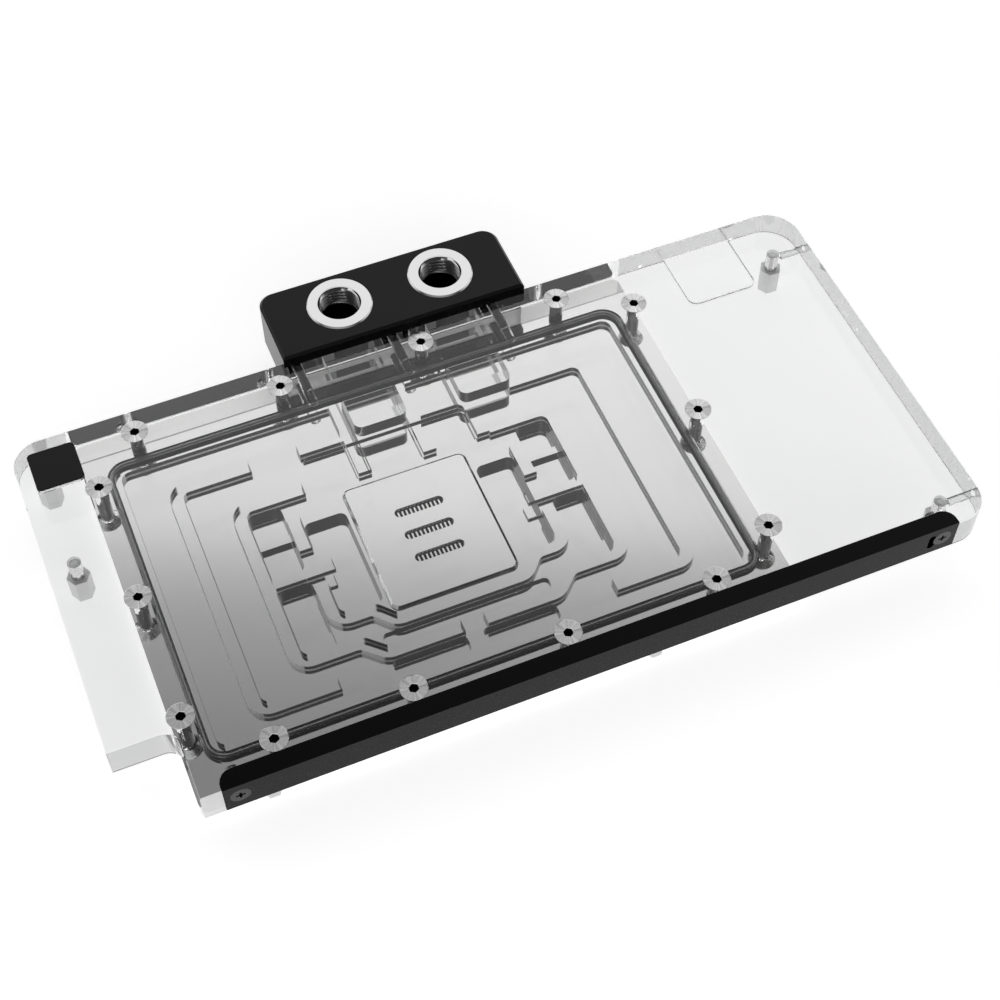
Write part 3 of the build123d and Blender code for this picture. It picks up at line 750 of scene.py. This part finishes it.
def ring_mesh(outside, height):
    """The top of the ring lies at height 0."""
    rings = [(BORE, -height), (SLEEVE, -height), (SLEEVE, -RING_THICK),
             (outside, -RING_THICK), (outside, -RING_BREAK - RING_SOFT),
             (outside - RING_SOFT, -RING_BREAK), (outside - RING_BREAK, -RING_SOFT),
             (outside - RING_BREAK - RING_SOFT, 0.0), (MOUTH + RING_SOFT, 0.0),
             (MOUTH, -RING_SOFT), (MOUTH - RING_SOFT, -MOUTH_DEPTH)]
    length = height - PORT_THREAD_START - PORT_THREAD_END
    steps = round(length / PORT_PITCH * PORT_RINGS_PER_TURN)
    for step in range(steps + 1):
        level = -PORT_THREAD_START - length * step / steps
        rings.append((thread(BORE, PORT_THREAD, PORT_PITCH, level), level))
    return lathe("port_ring", rings, RING_SIDES, closed=True)


# %% Place the rings
for side in ("left", "right"):
    low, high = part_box(f"port_ring_{side}")
    mesh = ring_mesh((high[0] - low[0]) / 2, high[2] - low[2])
    mesh.materials.append(ring_metal)
    # Painted shade in the bore below the mouth.
    paint_shade_on(mesh, thread_painted_shade, MOUTH, -SHADE_FROM)
    piece(f"ring_{side}", mesh, f"port_ring_{side}",
          ((low[0] + high[0]) / 2, (low[1] + high[1]) / 2, high[2]))
    print(side, "ring of", len(mesh.polygons), "faces")

# %% [markdown]
# ## Seal cord
# A round rubber cord lies in its groove round the water space and is squeezed a little flat. A
# curve with a bevel would give a round cord, but not a flattened one, so the same skin of loops as
# for the turned pieces follows a rounded rectangle, with an oval as each loop.

# %% Seal
SEAL_CORNER = 5.5 * MM
CORD_HALF = 1.0 * MM
CORNER_STEPS = 12
CORD_SIDES = 20


def seal_mesh(low, high):
    """A closed cord on a rounded rectangle, with an oval section."""
    tall = (high[2] - low[2]) / 2
    middle = (low[2] + high[2]) / 2
    inset = CORD_HALF + SEAL_CORNER
    left, right = low[0] + inset, high[0] - inset
    front, back = low[1] + inset, high[1] - inset
    loops = []
    for quarter, (x, y) in enumerate(((right, back), (left, back), (left, front), (right, front))):
        for step in range(CORNER_STEPS + 1):
            turn = math.radians(90.0 * quarter + 90.0 * step / CORNER_STEPS)
            out = Vector((math.cos(turn), math.sin(turn), 0))
            centre = Vector((x, y, middle)) + out * SEAL_CORNER
            loop = []
            for side in range(CORD_SIDES):
                angle = math.tau * side / CORD_SIDES
                lift = Vector((0, 0, tall * math.sin(angle)))
                loop.append(centre + out * CORD_HALF * math.cos(angle) + lift)
            loops.append(loop)
    return skin("seal_cord", loops, closed=True)


seal = seal_mesh(*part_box("main_seal"))
seal.materials.append(rubber)
piece("seal_cord", seal, "main_seal")
print("seal cord of", len(seal.polygons), "faces")

# %% [markdown]
# ## Floor
# The block lies on white paper, which is matt and shows the block's soft shadow. More light would
# make the paper white, but would burn out the block too. Instead the rays that look at the paper
# see a little glow added to it, and the light that it throws back on the block stays as it is.

# %% Floor
FLOOR_SIZE = 6.0
FLOOR_WHITE = (0.8, 0.8, 0.8, 1.0)
FLOOR_LIFT = 0.75

half = FLOOR_SIZE / 2
floor_mesh = bpy.data.meshes.new("floor")
floor_mesh.from_pydata([(-half, -half, CARD_Z), (half, -half, CARD_Z), (half, half, CARD_Z),
                        (-half, half, CARD_Z)], [], [(0, 1, 2, 3)])
floor = bpy.data.objects.new("floor", floor_mesh)
bpy.context.collection.objects.link(floor)

paper = new_paint("white paper")
looked_at = (paper.ray("Camera") + paper.ray("Glossy")
             + paper.ray("Transmission")).maths("MINIMUM", 1.0)
glow = paper.node("ShaderNodeEmission", None, (1, 1, 1, 1), FLOOR_LIFT)
matt = paper.node("ShaderNodeBsdfDiffuse", None, FLOOR_WHITE, 1.0)
lifted = paper.node("ShaderNodeAddShader", None, matt, glow)
floor_mesh.materials.append(paper.done(paper.mix_shader(looked_at, matt, lifted)))
print("floor at", round(CARD_Z / MM, 2), "mm")

# %% [markdown]
# ## The studio as a world
# Above and behind the block hangs one large soft box, whose lower edge shows as a sharp line
# across the bright plate. The rest of the studio is dark, apart from the pale walls near the
# floor and a strip light in front. Area lamps could do this, but a mirror shows every edge of a
# lamp, and a world gives the same light with a smooth change: one level for each angle, from the
# far horizon over the top to the near one. The far side is the way that the camera looks.

# %% World
# Degrees from the far horizon over the top to the near one, and the level there.
STUDIO = ((0, 1.0), (14, 1.0), (22, 0.3), (36, 0.32), (39, 1.12), (50, 1.11), (55.3, 0.95),
          (57.2, 0.61), (58.4, 0.49), (60.5, 0.39), (62, 0.33), (66, 0.28), (80, 0.12),
          (110, 0.04), (122, 0.04), (132, 0.14), (140, 0.4), (152, 1.0), (180, 1.0))
TOP_LEVEL = 1.2
FACING = math.radians(22.82)
HALF_TURN = 180
ASIDE = (0.85, 0.2)
ASIDE_LEVEL = (0.75, 0.75, 0.75, 1.0)

sky = Paint(bpy.data.worlds.new("studio"), "ShaderNodeOutputWorld")
right, back, up = sky.parts(sky.node("ShaderNodeTexCoord", out="Generated"))
far = right * math.sin(FACING) + back * math.cos(FACING)
aside = abs(right * math.cos(FACING) - back * math.sin(FACING))
angle = up.maths("ARCTAN2", far) / math.pi
stops = [(degrees / HALF_TURN, value / TOP_LEVEL) for degrees, value in STUDIO]
level = sky.node("ShaderNodeValToRGB", {"stops": stops}, angle)
level = sky.mix(aside.above(*ASIDE), level, ASIDE_LEVEL)
bpy.context.scene.world = sky.done(sky.node("ShaderNodeBackground", None, level, TOP_LEVEL))
print("studio of", len(STUDIO), "levels")

# %% [markdown]
# ## Camera
# The camera hangs in front of the block and looks down at it, as in the photograph. It could be
# aimed by hand, but its place, its turn and its lens were solved from the corners of the plate,
# the cover and the terminal, so that the render lies on the photograph.

# %% Camera
CAMERA_ABOVE = 423.92 * MM
CAMERA_AT = Vector((-95.18 * MM, -278.45 * MM, COVER_TOP + CAMERA_ABOVE))
CAMERA_DOWN = math.radians(54.88)
CAMERA_ROLL = math.radians(0.234)
SENSOR = 36.0
FOCAL = 65.4
NEAREST = 0.01
FARTHEST = 20.0

camera_data = bpy.data.cameras.new("camera")
camera_data.sensor_width = SENSOR
camera_data.lens = FOCAL
camera_data.clip_start = NEAREST
camera_data.clip_end = FARTHEST
camera = bpy.data.objects.new("camera", camera_data)
bpy.context.collection.objects.link(camera)
bpy.context.scene.camera = camera
look = Vector((math.cos(CAMERA_DOWN) * math.sin(FACING),
               math.cos(CAMERA_DOWN) * math.cos(FACING),
               -math.sin(CAMERA_DOWN)))
turn = look.to_track_quat("-Z", "Y").to_matrix() @ Matrix.Rotation(CAMERA_ROLL, 3, "Z")
camera.matrix_world = Matrix.Translation(CAMERA_AT) @ turn.to_4x4()
bpy.context.scene.view_settings.view_transform = "Standard"
print("camera with a lens of", FOCAL, "mm")
